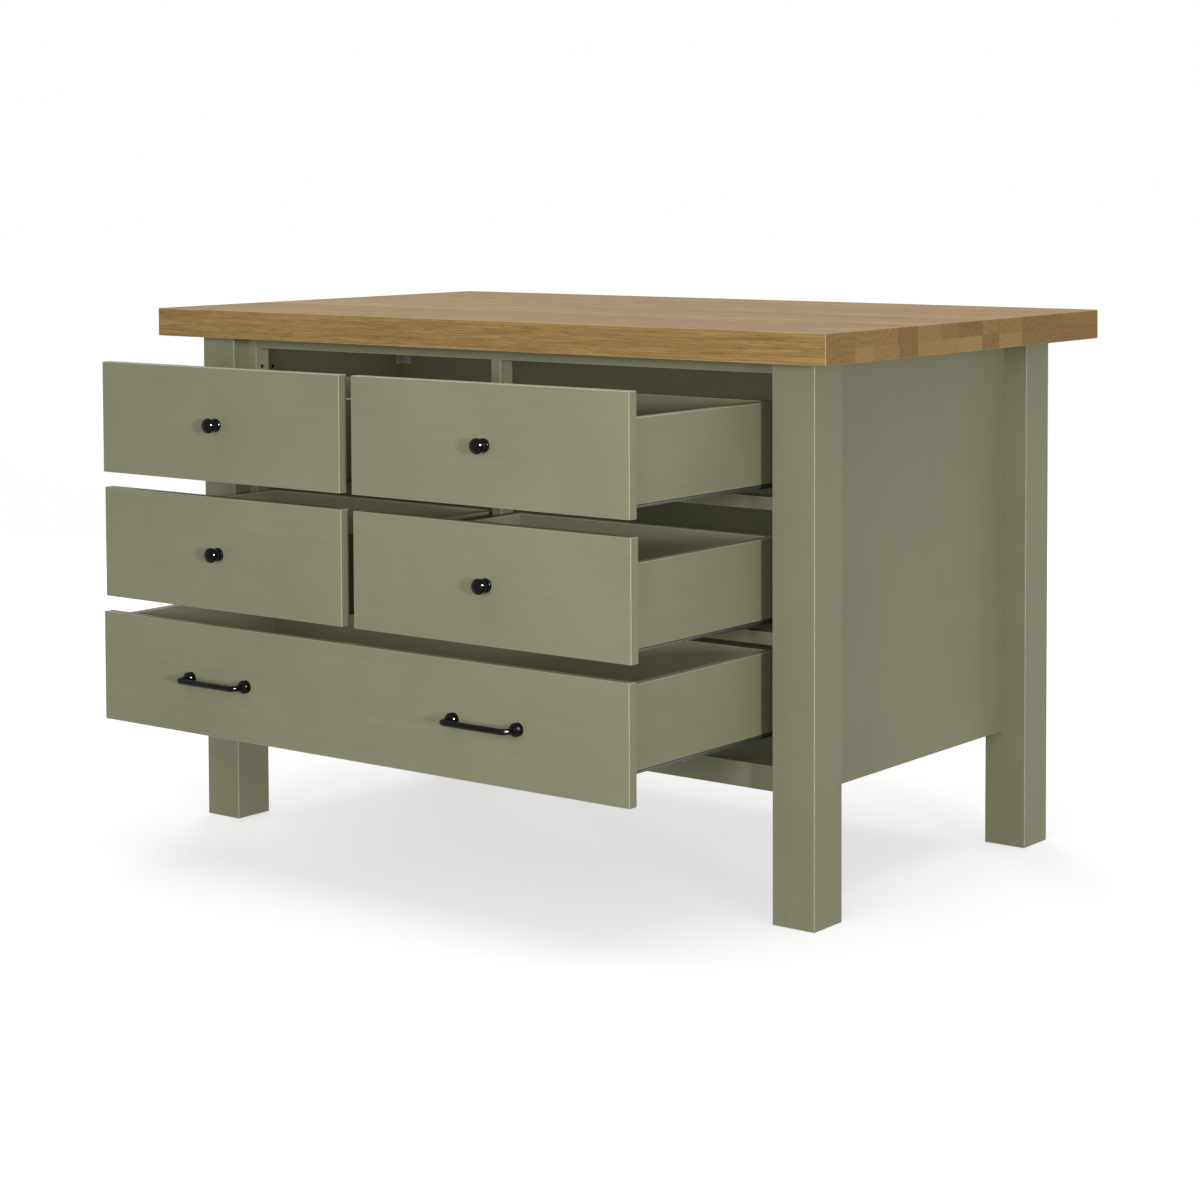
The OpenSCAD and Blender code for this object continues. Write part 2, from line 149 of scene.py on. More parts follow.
def material(name):
    """A new material's tree, with its object coordinates and its shader."""
    made = bpy.data.materials.new(name)
    made.use_nodes = True
    tree = Tree(made.node_tree)
    shader = next(n for n in tree.nodes if n.type == "BSDF_PRINCIPLED")
    place = tree.node("ShaderNodeTexCoord").outputs["Object"]
    return made, tree, shader, place


# ---------------------------------------------------------------- paint
PAINT = (0.242, 0.239, 0.151, 1.0)
PAINT_DARK = (0.214, 0.211, 0.131, 1.0)
# A pale sage: a painted highlight along the eased arrises, partly also their wear, and the pale tint of the
# outer stiles and of the line at their joints
PALE_PAINT_AND_HIGHLIGHT = (0.380, 0.375, 0.272, 1.0)
# Waves per metre along the brush and across it
BRUSH_MARKS = (2.2, 190.0)
BRUSH_HAIRS = (14.0, 720.0)
# Waves per metre in every direction
PAINT_CLOUDS = 5.5
PAINT_SPECKS = 950.0
# Waves per metre of the wear that breaks up the painted highlight on the arrises
ARRIS_HIGHLIGHT_AND_WEAR = (60.0, 60.0, 60.0)
# The line that shows where a rail meets an outer stile: how far its middle lies past the joint, half of its
# core and half of its width
LINE_MIDDLE = 0.6 * MM
LINE_CORE = 0.3 * MM
LINE_HALF = 0.9 * MM
STILE_TINT = 0.22
FINISH_IOR = 1.46
# The least roughness of the paint, of its rubbed arrises and of the oiled oak
PAINT_ROUGH = 0.40
ARRIS_ROUGH = 0.33
OAK_ROUGH = 0.50


def paint(name, along, arris=False, joint=None):
    """Sage paint brushed along one axis, with the timber's grain faintly under it.

    A joint is a distance from the middle, at which the rails meet the outer stiles under the paint.
    """
    made, tree, shader, place = material(name)
    streaks = tree.drawn_out(place, along, BRUSH_MARKS)
    fine = tree.drawn_out(place, along, BRUSH_HAIRS)
    brushed = tree.noise(streaks, 1.0, 4.0, 0.6)
    hairs = tree.noise(fine, 1.0, 2.0)
    cloud = tree.noise(place, PAINT_CLOUDS, 4.0, 0.55)
    speck = tree.noise(place, PAINT_SPECKS, 1.0)
    tone = tree.weigh((cloud, 0.6), (brushed, 0.4))
    base = tree.mix(tree.remap(tone, 0.36, 0.64), PAINT_DARK, PAINT)
    if arris:
        # The eased arrises take mostly the pale colour: a painted highlight, broken up by wear
        highlight_and_wear = tree.noise(tree.stretch(place, ARRIS_HIGHLIGHT_AND_WEAR), 1.0, 3.0, 0.7)
        base = tree.mix(tree.remap(highlight_and_wear, 0.25, 0.6, 0.55, 1.0), base, PALE_PAINT_AND_HIGHLIGHT)
    if joint:
        across = tree.math("ABSOLUTE", tree.split(place)[0])
        stile = tree.math("GREATER_THAN", across, joint)
        base = tree.mix(tree.math("MULTIPLY", stile, STILE_TINT), base, PALE_PAINT_AND_HIGHLIGHT)
        off = tree.math("ABSOLUTE", tree.math("SUBTRACT", across, joint + LINE_MIDDLE))
        base = tree.mix(tree.remap(off, LINE_CORE, LINE_HALF, 0.55, 0.0), base, PALE_PAINT_AND_HIGHLIGHT)
    tree.feed(shader.inputs["Base Color"], base)
    gloss = tree.weigh((cloud, 0.10), (hairs, 0.08))
    tree.feed(shader.inputs["Roughness"], tree.math("ADD", gloss, ARRIS_ROUGH if arris else PAINT_ROUGH))
    shader.inputs["IOR"].default_value = FINISH_IOR
    shader.inputs["Specular IOR Level"].default_value = 0.38
    relief = tree.weigh((brushed, 0.5), (hairs, 0.35), (speck, 0.15))
    tree.feed(shader.inputs["Normal"], tree.bump(relief, 0.22, 0.00025))
    return made


# ---------------------------------------------------------------- oak
TOP_LOW, TOP_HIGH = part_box("worktop")
COURSE_Z = (TOP_LOW.z + TOP_HIGH.z) / 2
# Where each stave begins behind the front edge in mm, and its tone from dark (-1) to very light (2),
# in each of the worktop's two courses
UPPER_STAVES = (
    (0, -1), (81, 0), (205, -1), (265, 1), (335, 0), (393, -1), (468, 0), (522, 0), (601, -1), (736, -1)
)
LOWER_STAVES = (
    (0, -1), (81, 1), (137, 1), (211, -1), (265, 1), (389, 2), (468, -1), (522, 1), (601, -1), (736, -1)
)
OAK_LIGHT = (0.502, 0.326, 0.136, 1.0)
OAK_MID = (0.370, 0.230, 0.087, 1.0)
OAK_DARK = (0.215, 0.124, 0.042, 1.0)
OAK_PORE = (0.095, 0.050, 0.020, 1.0)
OAK_END = (0.185, 0.094, 0.022, 1.0)
# Pale oak for the eased arrises: partly wear, partly a painted highlight
OAK_RUBBED_AND_HIGHLIGHT = (0.62, 0.46, 0.28, 1.0)
# In metres: the length of the staves in a row, the most that a row is shifted, and where the joints start
STAVE_LENGTH = 1.1
STAVE_SHIFT = 0.9
STAVE_START = 3.35
# Spreads the rows' shifts evenly
ROW_STEP = 0.618
# Keeps the lower course's numbers apart from the upper one's
LOWER_NUMBERS = 31.0
# A stave's pith, in metres: how far it lies to the side at most, how deep, and its slope along the stave
PITH_ASIDE = 0.07
PITH_NEAR = 0.035
PITH_FAR = 0.13
PITH_SLOPE = 0.03
RING_GAP = 0.0036
SWELL_GAP = 0.0115
# In metres: half of a glue line's core, and half of its width between two staves and between the courses
SEAM_CORE = 0.0002
STAVE_SEAM = 0.0006
COURSE_SEAM = 0.0007
# Waves per metre along the stave and across it
WAVE = (1.6, 9.0)
RIPPLE = (7.0, 42.0)
DASHES = (42.0, 800.0)
FLECKS = (24.0, 480.0)
FIBRES = (9.0, 330.0)
STREAKS = (4.5, 150.0)
BANDS = (1.3, 34.0)


def stave_rows(tree, y, staves):
    """A stave's number, tone and middle, as sockets that step from stave to stave with y in metres."""
    ends = [start for start, _ in staves[1:]] + [(TOP_HIGH.y - TOP_LOW.y) / MM]
    totals, last, number = [None, None, None], (0.0, 0.0, 0.0), 0.0
    for index, ((start, shade), end) in enumerate(zip(staves, ends)):
        # Uneven steps, so that the staves draw chances that don't repeat
        number += 1.0 + 0.37 * (index % 3)
        wanted = (number, float(shade), TOP_LOW.y + (start + end) / 2 * MM)
        step = tree.math("GREATER_THAN", y, TOP_LOW.y + start * MM - (1.0 if index == 0 else 0.0))
        for k, (value, before) in enumerate(zip(wanted, last)):
            change = tree.math("MULTIPLY", step, value - before)
            totals[k] = change if totals[k] is None else tree.math("ADD", totals[k], change)
        last = wanted
    return totals


def stave_distance(tree, y, staves):
    """Distance from y to the nearest joint between staves, in metres."""
    nearest = None
    for start, _ in staves[1:]:
        gap = tree.math("ABSOLUTE", tree.math("SUBTRACT", y, TOP_LOW.y + start * MM))
        nearest = gap if nearest is None else tree.math("MINIMUM", nearest, gap)
    return nearest


def oak(name, arris=False):
    """Oak staves in two courses, as a solid: rings round each stave's own pith, rays and pores."""
    made, tree, shader, place = material(name)
    x, y, z = tree.split(place)
    upper = tree.math("GREATER_THAN", z, COURSE_Z)
    lower = tree.math("SUBTRACT", 1.0, upper)

    def either(above, below):
        return tree.weigh((above, upper), (below, lower))

    rows_up = stave_rows(tree, y, UPPER_STAVES)
    rows_low = stave_rows(tree, y, LOWER_STAVES)
    row, shade, middle = (either(above, below) for above, below in zip(rows_up, rows_low))
    # The two courses share the stave along the front edge
    behind = tree.math("GREATER_THAN", y, TOP_LOW.y + LOWER_STAVES[1][0] * MM)
    row = tree.math("ADD", row, tree.math("MULTIPLY", tree.math("MULTIPLY", behind, lower), LOWER_NUMBERS))
    # Staves butt end to end at places that differ from row to row
    shift = tree.math("MULTIPLY", tree.math("FRACT", tree.math("MULTIPLY", row, ROW_STEP)), STAVE_SHIFT)
    along = tree.math("ADD", tree.math("ADD", x, STAVE_START), shift)
    piece = tree.math("FLOOR", tree.math("DIVIDE", along, STAVE_LENGTH))
    lot = tree.node("ShaderNodeTexWhiteNoise", {"Vector": tree.join(row, piece, 4.0)}, noise_dimensions="3D")
    chance_a, chance_b, chance_c = tree.split(lot.outputs["Color"])
    facing = tree.split(tree.node("ShaderNodeTexCoord").outputs["Normal"])[0]
    end = tree.remap(tree.math("ABSOLUTE", facing), 0.8, 0.95)
    side = tree.math("SUBTRACT", 1.0, end)

    def by_face(on_side, on_end):
        return tree.remap(end, 0.0, 1.0, on_side, on_end)

    # Rings: distance from a pith above or below each stave, which drifts along it
    pith_y = tree.math("SUBTRACT", y, middle)
    pith_y = tree.math("ADD", pith_y, tree.remap(chance_a, 0.0, 1.0, -PITH_ASIDE, PITH_ASIDE))
    flip = tree.math("SUBTRACT", tree.math("MULTIPLY", tree.math("GREATER_THAN", chance_c, 0.5), 2.0), 1.0)
    pith_z = tree.math("MULTIPLY", tree.math("SUBTRACT", z, COURSE_Z), flip)
    pith_z = tree.math("ADD", pith_z, tree.remap(chance_b, 0.0, 1.0, PITH_NEAR, PITH_FAR))
    drift = tree.math("MULTIPLY", x, tree.remap(chance_a, 0.0, 1.0, -PITH_SLOPE, PITH_SLOPE))
    wave = tree.noise(tree.drawn_out(place, 0, WAVE), 1.0, 3.0, 0.5)
    ripple = tree.noise(tree.drawn_out(place, 0, RIPPLE), 1.0, 2.0, 0.5)
    reach = tree.math("SQRT", tree.weigh((pith_y, pith_y), (pith_z, pith_z)))
    reach = tree.math("ADD", tree.math("ADD", reach, drift), tree.math("MULTIPLY", wave, 0.018))
    reach = tree.math("ADD", reach, tree.math("MULTIPLY", ripple, 0.003))
    turn = tree.math("FRACT", tree.math("DIVIDE", reach, RING_GAP))
    late = tree.remap(turn, 0.30, 0.95, 0.0, 1.0, True)
    swell = tree.math("SINE", tree.math("MULTIPLY", reach, math.tau / SWELL_GAP))
    early = tree.remap(turn, 0.0, 0.22, 1.0, 0.0, True)

    # Pores: long dashes along the stave, dots across it, thickest in the early wood
    dashes = tree.noise(tree.drawn_out(place, 0, DASHES), 1.0, 2.0, 0.65)
    pores = tree.math("MULTIPLY", tree.remap(dashes, 0.54, 0.66), tree.remap(early, 0.0, 1.0, 0.35, 1.0))
    flecks = tree.remap(tree.noise(tree.drawn_out(place, 0, FLECKS), 1.0, 2.0, 0.6), 0.54, 0.64)
    fibres = tree.noise(tree.drawn_out(place, 0, FIBRES), 1.0, 4.0, 0.65)
    streaks = tree.noise(tree.drawn_out(place, 0, STREAKS), 1.0, 4.0, 0.7)
    bands = tree.noise(tree.drawn_out(place, 0, BANDS), 1.0, 3.0, 0.55)

    grain = tree.weigh((fibres, 0.40), (bands, 0.25), (streaks, 0.35))
    grain = tree.math("MULTIPLY", tree.math("SUBTRACT", grain, 0.5), by_face(1.0, 0.35))
    tone = tree.math("ADD", grain, 0.5)
    luck = tree.math("MULTIPLY", tree.math("SUBTRACT", chance_b, 0.5), by_face(0.06, 0.10))
    tone = tree.math("ADD", tone, luck)
    tone = tree.math("ADD", tone, tree.math("MULTIPLY", shade, by_face(0.045, 0.085)))
    tone = tree.math("ADD", tone, tree.math("MULTIPLY", swell, by_face(0.022, 0.035)))
    base = tree.mix(tree.remap(tone, 0.32, 0.52), OAK_DARK, OAK_MID)
    base = tree.mix(tree.remap(tone, 0.50, 0.70), base, OAK_LIGHT)
    base = tree.mix(tree.math("MULTIPLY", late, by_face(0.24, 0.42)), base, OAK_DARK)
    base = tree.mix(tree.math("MULTIPLY", flecks, tree.remap(side, 0.0, 1.0, 0.12, 0.36)), base, OAK_PORE)
    base = tree.mix(tree.math("MULTIPLY", pores, tree.remap(side, 0.0, 1.0, 0.25, 0.52)), base, OAK_PORE)
    seam_up = tree.math("ADD", stave_distance(tree, y, UPPER_STAVES), lower)
    seam_low = tree.math("ADD", stave_distance(tree, y, LOWER_STAVES), upper)
    seam = tree.remap(tree.math("MINIMUM", seam_up, seam_low), SEAM_CORE, STAVE_SEAM, 1.0, 0.0)
    base = tree.mix(tree.math("MULTIPLY", seam, 0.45), base, OAK_PORE)
    # The glue line between the courses shows on the ends
    off = tree.math("ABSOLUTE", tree.math("SUBTRACT", z, COURSE_Z))
    course = tree.remap(off, SEAM_CORE, COURSE_SEAM, 1.0, 0.0)
    course = tree.math("MULTIPLY", tree.math("MULTIPLY", course, behind), end)
    base = tree.mix(tree.math("MULTIPLY", course, 0.40), base, OAK_PORE)
    # End grain drinks more oil, and is darker
    base = tree.mix(tree.math("MULTIPLY", end, 0.30), base, OAK_END)
    if arris:
        # A painted highlight along the eased arrises, partly also their wear
        base = tree.mix(0.35, base, OAK_RUBBED_AND_HIGHLIGHT)
    tree.feed(shader.inputs["Base Color"], base)
    rough = tree.weigh((fibres, 0.12), (pores, 0.18))
    tree.feed(shader.inputs["Roughness"], tree.math("ADD", rough, OAK_ROUGH))
    shader.inputs["IOR"].default_value = FINISH_IOR
    shader.inputs["Specular IOR Level"].default_value = 0.24
    relief = tree.math("SUBTRACT", tree.math("MULTIPLY", fibres, 0.35), tree.math("MULTIPLY", pores, 0.65))
    tree.feed(shader.inputs["Normal"], tree.bump(relief, 0.35, 0.0003))
    return made


# ---------------------------------------------------------------- iron and steel
IRON_DARK = (0.0015, 0.0015, 0.0022, 1.0)
IRON_LIGHT = (0.0045, 0.0045, 0.0060, 1.0)
# Near black: painted shade for the grooves of the runner members
GROOVE_SHADE = (0.018, 0.018, 0.015, 1.0)
# Waves per metre along the runner and across it
DRAWN_LINES = (8.0, 1500.0)
# How far the upper groove lies under the member's top, and half of each groove's width
UPPER_GROOVE_DOWN = 0.7 * MM
UPPER_GROOVE_HALF = 0.8 * MM
MIDDLE_GROOVE_HALF = 0.45 * MM


def black_iron():
    """Cast iron under glossy black: faint ripples from the casting and a few dull spots."""
    made, tree, shader, place = material("black_iron_gloss")
    ripple = tree.noise(place, 160.0, 3.0, 0.6)
    grit = tree.noise(place, 1500.0, 2.0, 0.6)
    shade = tree.mix(ripple, IRON_DARK, IRON_LIGHT)
    tree.feed(shader.inputs["Base Color"], shade)
    tree.feed(shader.inputs["Roughness"], tree.remap(ripple, 0.2, 0.8, 0.09, 0.14))
    shader.inputs["IOR"].default_value = 1.5
    shader.inputs["Specular IOR Level"].default_value = 0.10
    relief = tree.weigh((ripple, 0.7), (grit, 0.3))
    tree.feed(shader.inputs["Normal"], tree.bump(relief, 0.25, 0.0003))
    return made


def zinc_steel(name, dark, light, metallic):
    """Zinc-plated sheet: drawn lines along the runner, a cloudy plate, and rolled grooves that are duller and
    darkened with painted shade.
    """
    made, tree, shader, place = material(name)
    drawn = tree.noise(tree.drawn_out(place, 1, DRAWN_LINES), 1.0, 3.0, 0.6)
    cloud = tree.noise(place, 45.0, 4.0, 0.6)
    shade = tree.mix(cloud, dark, light)
    # Painted shade darkens two grooves, one where the shadow gap under the drawer's side falls and one half
    # way down the member; both are also rougher and dented
    height = tree.split(place)[2]
    shaded_groove = None
    for row in ("upper_left", "middle_left", "lower"):
        low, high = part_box(f"{row}_runner_members")
        upper = (high.z - UPPER_GROOVE_DOWN, UPPER_GROOVE_HALF)
        middle = ((low.z + high.z) / 2, MIDDLE_GROOVE_HALF)
        for level, half in (upper, middle):
            off = tree.math("ABSOLUTE", tree.math("SUBTRACT", height, level))
            line = tree.remap(off, half * 0.6, half, 1.0, 0.0)
            shaded_groove = line if shaded_groove is None else tree.math("MAXIMUM", shaded_groove, line)
    shade = tree.mix(tree.math("MULTIPLY", shaded_groove, 0.85), shade, GROOVE_SHADE)
    tree.feed(shader.inputs["Base Color"], shade)
    shader.inputs["Metallic"].default_value = metallic
    rough = tree.math("ADD", tree.remap(drawn, 0.2, 0.8, 0.28, 0.46), tree.math("MULTIPLY", shaded_groove, 0.25))
    tree.feed(shader.inputs["Roughness"], rough)
    relief = tree.math("SUBTRACT", tree.math("MULTIPLY", drawn, 0.3), shaded_groove)
    tree.feed(shader.inputs["Normal"], tree.bump(relief, 0.3, 0.0003))
    return made


PAINTS = [paint(f"sage_paint_{axis}", i) for i, axis in enumerate("xyz")]
ARRISES = [paint(f"sage_paint_arris_{axis}", i, True) for i, axis in enumerate("xyz")]
OAK = oak("oak_staves")
OAK_ARRIS = oak("oak_arris", True)
IRON = black_iron()
ZINC = zinc_steel("zinc_plated_steel", (0.135, 0.137, 0.125, 1.0), (0.225, 0.228, 0.205, 1.0), 0.7)
DULL_ZINC = zinc_steel("dull_zinc_steel", (0.26, 0.26, 0.225, 1.0), (0.40, 0.40, 0.35, 1.0), 0.15)


# ---------------------------------------------------------------- eased edges
def geometry_group(name):
    group = bpy.data.node_groups.new(name, "GeometryNodeTree")
    group.interface.new_socket("Geometry", in_out="INPUT", socket_type="NodeSocketGeometry")
    group.interface.new_socket("Geometry", in_out="OUTPUT", socket_type="NodeSocketGeometry")
    tree = Tree(group)
    shape = tree.node("NodeGroupInput").outputs[0]
    return group, tree, shape


# A point this far from the middle of the box, as a share of the box's size, lies on one of its faces
ON_BOX = 0.49998
# Edges sharper than this angle in radians are eased
EASED_ANGLE = 0.6
# Edges sharper than these, in radians, stay sharp on a board and on a turned piece
BOARD_SHARP = 0.75
TURNED_SHARP = 0.60
# Faces closer to level with each other than this, in radians, become one before the easing
LEVEL_ANGLE = math.radians(0.5)


def bare(tree, shape):
    """The shape without the normals that came with the CAD mesh."""
    return tree.node("GeometryNodeRemoveAttribute", {"Geometry": shape, "Name": "custom_normal"}).outputs[0]


def weight_group(name, outer):
    """Marks the edges to ease: all sharp ones, or only those on two faces of the node's own box."""
    group, tree, shape = geometry_group(name)
    plain = bare(tree, shape)
    if outer:
        box = tree.node("GeometryNodeBoundBox", {"Geometry": plain})
        size = tree.vector("SUBTRACT", box.outputs["Max"], box.outputs["Min"])
        place = tree.node("GeometryNodeInputPosition").outputs[0]
        here = tree.vector("SUBTRACT", place, box.outputs["Min"])
        share = tree.split(tree.vector("DIVIDE", here, size))
        count = None
        for part in share:
            off = tree.math("ABSOLUTE", tree.math("SUBTRACT", part, 0.5))
            on = tree.math("GREATER_THAN", off, ON_BOX)
            count = on if count is None else tree.math("ADD", count, on)
        weight = tree.math("GREATER_THAN", count, 1.5)
    else:
        angle = tree.node("GeometryNodeInputMeshEdgeAngle").outputs["Unsigned Angle"]
        weight = tree.math("GREATER_THAN", angle, EASED_ANGLE)
    inputs = {"Geometry": plain, "Name": "bevel_weight_edge", "Value": weight}
    marked = tree.node("GeometryNodeStoreNamedAttribute", inputs, data_type="FLOAT", domain="EDGE")
    out = tree.node("NodeGroupOutput")
    tree.links.new(marked.outputs[0], out.inputs[0])
    return group


def smooth_group(name, limit, plain=False):
    """Smooth faces, with the edges sharper than the limit kept sharp; plain drops the CAD's normals first."""
    group, tree, shape = geometry_group(name)
    if plain:
        shape = bare(tree, shape)
    inputs = {"Geometry": shape, "Shade Smooth": True}
    faces = tree.node("GeometryNodeSetShadeSmooth", inputs, domain="FACE")
    angle = tree.node("GeometryNodeInputMeshEdgeAngle").outputs["Unsigned Angle"]
    flat = tree.math("LESS_THAN", angle, limit)
    inputs = {"Geometry": faces.outputs[0], "Shade Smooth": flat}
    edges = tree.node("GeometryNodeSetShadeSmooth", inputs, domain="EDGE")
    out = tree.node("NodeGroupOutput")
    tree.links.new(edges.outputs[0], out.inputs[0])
    return group


OUTER_EDGES = weight_group("weigh_outer_edges", True)
SHARP_EDGES = weight_group("weigh_sharp_edges", False)
SMOOTH = smooth_group("smooth_but_sharp", BOARD_SHARP)
TURNED = smooth_group("smooth_turned", TURNED_SHARP, True)


def add_nodes(obj, group):
    modifier = obj.modifiers.new(group.name, "NODES")
    modifier.node_group = group


def ease(obj, width, outer=False):
    """Takes the sharp arrises off a board; the eased strips use the object's second material."""
    weld = obj.modifiers.new("weld", "WELD")
    weld.merge_threshold = WELD_DISTANCE
    flat = obj.modifiers.new("flat", "DECIMATE")
    flat.decimate_type = "DISSOLVE"
    flat.angle_limit = LEVEL_ANGLE
    add_nodes(obj, OUTER_EDGES if outer else SHARP_EDGES)
    bevel = obj.modifiers.new("eased", "BEVEL")
    bevel.limit_method = "WEIGHT"
    bevel.width = width
    bevel.segments = 3
    bevel.material = 1
    bevel.use_clamp_overlap = True
    add_nodes(obj, SMOOTH)
    normals = obj.modifiers.new("normals", "WEIGHTED_NORMAL")
    normals.keep_sharp = True
    normals.weight = 100


def smooth(obj):
    """One even curve over the rings of a turned piece."""
    weld = obj.modifiers.new("weld", "WELD")
    weld.merge_threshold = WELD_DISTANCE
    add_nodes(obj, TURNED)


def dress(obj, *materials):
    """Gives an object its materials in order."""
    slots = obj.data.materials
    slots.clear()
    for entry in materials:
        slots.append(entry)


def long_axis(name):
    low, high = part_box(name)
    size = high - low
    return max(range(3), key=lambda i: size[i])


# ---------------------------------------------------------------- boards
DRAWERS = ("upper_left", "upper_right", "middle_left", "middle_right", "lower")
BOARD_EASE = 1.0 * MM
LEG_EASE = 1.3 * MM
TOP_EASE = 1.3 * MM

for name in ("front_left_leg", "front_right_leg", "rear_left_leg", "rear_right_leg"):
    dress(NODES[name], PAINTS[2], ARRISES[2])
    ease(NODES[name], LEG_EASE)

for name in ("left_side_panel", "right_side_panel", "inner_back"):
    dress(NODES[name], PAINTS[2], ARRISES[2])
    ease(NODES[name], BOARD_EASE, True)

for name in ("back_panel", "floor_panel", "runner_bearers"):
    axis = 2 if name == "back_panel" else long_axis(name)
    dress(NODES[name], PAINTS[axis], ARRISES[axis])
    ease(NODES[name], BOARD_EASE)

dress(NODES["worktop"], OAK, OAK_ARRIS)
ease(NODES["worktop"], TOP_EASE)

for drawer in DRAWERS:
    for part in ("front", "left_side", "right_side", "back", "base"):
        board = NODES[f"{drawer}_{part}"]
        axis = long_axis(board.name)
        dress(board, PAINTS[axis], ARRISES[axis])
        ease(board, BOARD_EASE, True)
    for part in ("runner_members", "slides"):
        dress(NODES[f"{drawer}_{part}"], ZINC)

dress(NODES["cabinet_runners"], ZINC)
dress(NODES["corner_brackets"], DULL_ZINC)
for name in PULL_NAMES:
    dress(NODES[name], IRON)
    smooth(NODES[name])


# ---------------------------------------------------------------- face frame
def cells(name, openings_x, openings_z, low_y, high_y):
    """One flat frame between two depths: a grid of cells from its breaks in x and z, less the open ones."""
    mesh = bpy.data.meshes.new(name)
    shape = bmesh.new()
    xs, open_x = openings_x
    zs, open_z = openings_z
    for i in range(len(xs) - 1):
        for j in range(len(zs) - 1):
            if open_x(i, j) and open_z(j):
                continue
            corners = ((xs[i], zs[j]), (xs[i + 1], zs[j]), (xs[i + 1], zs[j + 1]), (xs[i], zs[j + 1]))
            shape.faces.new([shape.verts.new((cx, low_y, cz)) for cx, cz in corners])
    bmesh.ops.remove_doubles(shape, verts=shape.verts, dist=WELD_DISTANCE)
    bmesh.ops.dissolve_limit(shape, angle_limit=0.01, verts=shape.verts, edges=shape.edges)
    grown = bmesh.ops.extrude_face_region(shape, geom=list(shape.faces))
    moved = [v for v in grown["geom"] if isinstance(v, bmesh.types.BMVert)]
    bmesh.ops.translate(shape, verts=moved, vec=(0.0, high_y - low_y, 0.0))
    bmesh.ops.recalc_face_normals(shape, faces=shape.faces)
    shape.to_mesh(mesh)
    shape.free()
    return put(name, mesh)


def face_frame():
    """The rails and stiles, glued flush and painted over as one frame."""
    stile_low, stile_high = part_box("outer_stiles")
    centre_low, centre_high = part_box("centre_stiles")
    top, upper, middle, bottom = (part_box(f"{n}_rail") for n in ("top", "upper", "middle", "bottom"))
    inner = top[1].x
    xs = (stile_low.x, -inner, centre_low.x, centre_high.x, inner, stile_high.x)
    zs = (
        bottom[0].z, bottom[1].z, middle[0].z, middle[1].z,
        upper[0].z, upper[1].z, top[0].z, top[1].z,
    )

    def open_column(i, j):
        return i in (1, 3) or (i == 2 and j == 1)

    def open_row(j):
        return j in (1, 3, 5)

    made = cells("face_frame", (xs, open_column), (zs, open_row), stile_low.y, stile_high.y)
    dress(made, paint("sage_paint_frame", 0, joint=inner), ARRISES[0])
    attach(made, "cabinet")
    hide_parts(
        "top_rail", "upper_rail", "middle_rail", "bottom_rail", "outer_stiles", "centre_stiles"
    )
    ease(made, BOARD_EASE)


face_frame()


SCREW_RADIUS = 3.4 * MM
# The crown's height as a share of the radius, and how much of a quarter turn its outline takes
SCREW_CROWN = 0.42
SCREW_CURVE = 0.93
RECESS_DEPTH = 0.45 * MM
# How far back and how high the screws sit, in metres
STILE_SCREW = (-0.319, 0.824)
PANEL_SCREW = (-0.255, 0.819)


def cross_screws(name, places):
    """Pan-head screws with a cross recess, driven sideways into the boards at the given places."""
    mesh = bpy.data.meshes.new(name)
    shape = bmesh.new()
    rings = 5
    sides = 24
    for px, py, pz, way in places:
        loops = []
        for ring in range(rings):
            lift = math.sin(ring / (rings - 1) * math.pi / 2)
            reach = SCREW_RADIUS * math.cos(ring / (rings - 1) * math.pi / 2 * SCREW_CURVE)
            loop = []
            for side in range(sides):
                turn = math.tau * side / sides
                # The recess pinches the crown inwards along a cross
                cut = RECESS_DEPTH * abs(math.cos(2 * turn)) ** 8 * (ring / (rings - 1))
                height = SCREW_RADIUS * SCREW_CROWN * lift - cut
                spot = (px + way * height, py + reach * math.cos(turn), pz + reach * math.sin(turn))
                loop.append(shape.verts.new(spot))
            loops.append(loop)
        for low, high in zip(loops, loops[1:]):
            for side in range(sides):
                after = (side + 1) % sides
                shape.faces.new((low[side], low[after], high[after], high[side]))
        shape.faces.new(loops[-1])
        shape.faces.new(loops[0][::-1])
    bmesh.ops.recalc_face_normals(shape, faces=shape.faces)
    for face in shape.faces:
        face.smooth = True
    shape.to_mesh(mesh)
    shape.free()
    return put(name, mesh)


def board_screws():
    """One screw in the inner face of each outer stile and of each side panel, behind the upper fronts."""
    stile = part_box("top_rail")[1].x
    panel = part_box("left_side_panel")[1].x
    places = []
    for side in (-1, 1):
        places.append((side * stile, *STILE_SCREW, -side))
        places.append((side * abs(panel), *PANEL_SCREW, -side))
    made = cross_screws("board_screws", places)
    dress(made, IRON)
    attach(made, "cabinet")


board_screws()


# ---------------------------------------------------------------- room
def plane(name, corners):
    mesh = bpy.data.meshes.new(name)
    mesh.from_pydata(corners, [], [tuple(range(len(corners)))])
    return put(name, mesh)


# The floor's colour and glow together come out white in the open, and its shadows stay
FLOOR_WHITE = 0.50
FLOOR_GLOW = 0.625
FLOOR_BOUNCE = 0.13
FLOOR_REACH = 40.0
# The world's strength on surfaces; the camera and mirrored rays see it plain white
AMBIENT = 0.21


def seen_rays(tree):
    """One for rays from the camera, mirrored rays and rays through glass, and zero for the others."""
    rays = tree.node("ShaderNodeLightPath").outputs
    seen = tree.math("MAXIMUM", rays["Is Camera Ray"], rays["Is Glossy Ray"])
    return tree.math("MAXIMUM", seen, rays["Is Transmission Ray"])


